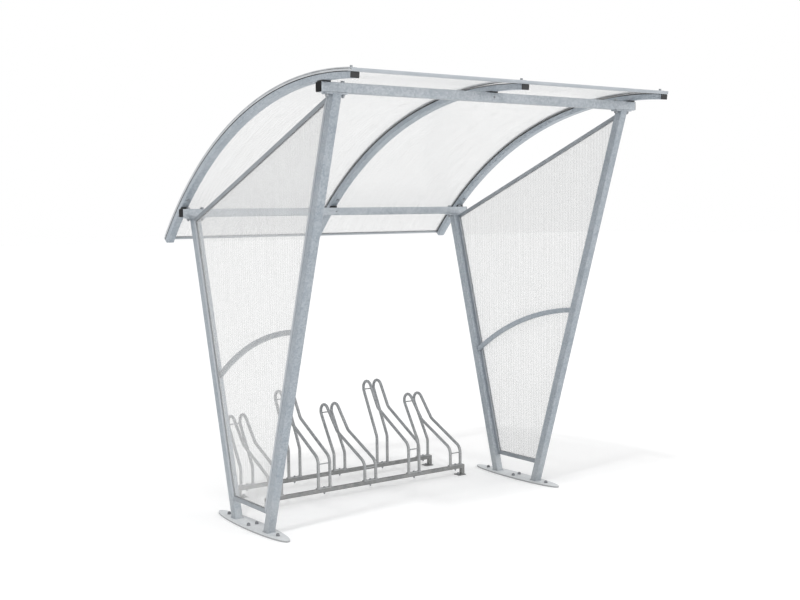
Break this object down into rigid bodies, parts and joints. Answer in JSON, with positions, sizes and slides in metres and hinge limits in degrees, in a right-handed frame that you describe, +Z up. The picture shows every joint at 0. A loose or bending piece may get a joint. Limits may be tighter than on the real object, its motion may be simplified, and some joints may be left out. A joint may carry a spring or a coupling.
{
  "type": "bicycle shelter",
  "caption": "Open-fronted bicycle shelter with a curved translucent roof on V-shaped side frames, and a floor rack with bent-tube wheel holders under it.",
  "frame": {"origin": "middle of the footprint's bounding box, on the floor", "axes": "X along the width, +Y from the open front to the low rear, +Z up"},
  "size_m": [2.208, 2.166, 2.4959],
  "materials": {
    "steel": "hot-dip galvanised, spangled, satin",
    "aluminium": "mill finish, satin",
    "black_plastic": "moulded black plastic",
    "rubber": "extruded black rubber strip",
    "multiwall_sheet": "clear multiwall polycarbonate, translucent, with hollow flutes"
  },
  "bodies": {
    "root": {"base_plate_left": "steel", "base_plate_right": "steel", "front_post_left": "steel", "front_post_right": "steel", "rear_post_left": "steel", "rear_post_right": "steel", "front_head_plate_left": "steel", "front_head_plate_right": "steel", "rear_head_plate_left": "steel", "rear_head_plate_right": "steel", "mid_rail_left": "steel", "mid_rail_right": "steel", "side_panel_left": "multiwall_sheet", "side_panel_right": "multiwall_sheet", "top_channel_left": "aluminium", "top_channel_right": "aluminium", "bottom_channel_left": "aluminium", "bottom_channel_right": "aluminium", "post_channels_left": "aluminium", "post_channels_right": "aluminium", "front_beam": "steel", "rear_beam": "steel", "beam_caps": "black_plastic", "roof_arch_left": "steel", "roof_arch_middle": "steel", "roof_arch_right": "steel", "arch_caps": "black_plastic", "front_arch_seats": "black_plastic", "rear_arch_seats": "black_plastic", "roof_gaskets": "rubber", "roof_sheet_left": "multiwall_sheet", "roof_sheet_right": "multiwall_sheet", "cover_strip_left": "aluminium", "cover_strip_middle": "aluminium", "cover_strip_right": "aluminium", "front_edge_profile": "aluminium", "rear_edge_profile": "aluminium", "rack_front_rail": "steel", "rack_rear_rail": "steel", "rack_feet": "steel", "wheel_holder_1": "steel", "wheel_holder_2": "steel", "wheel_holder_3": "steel", "wheel_holder_4": "steel", "wheel_holder_5": "steel"}
  },
  "joints": []
}
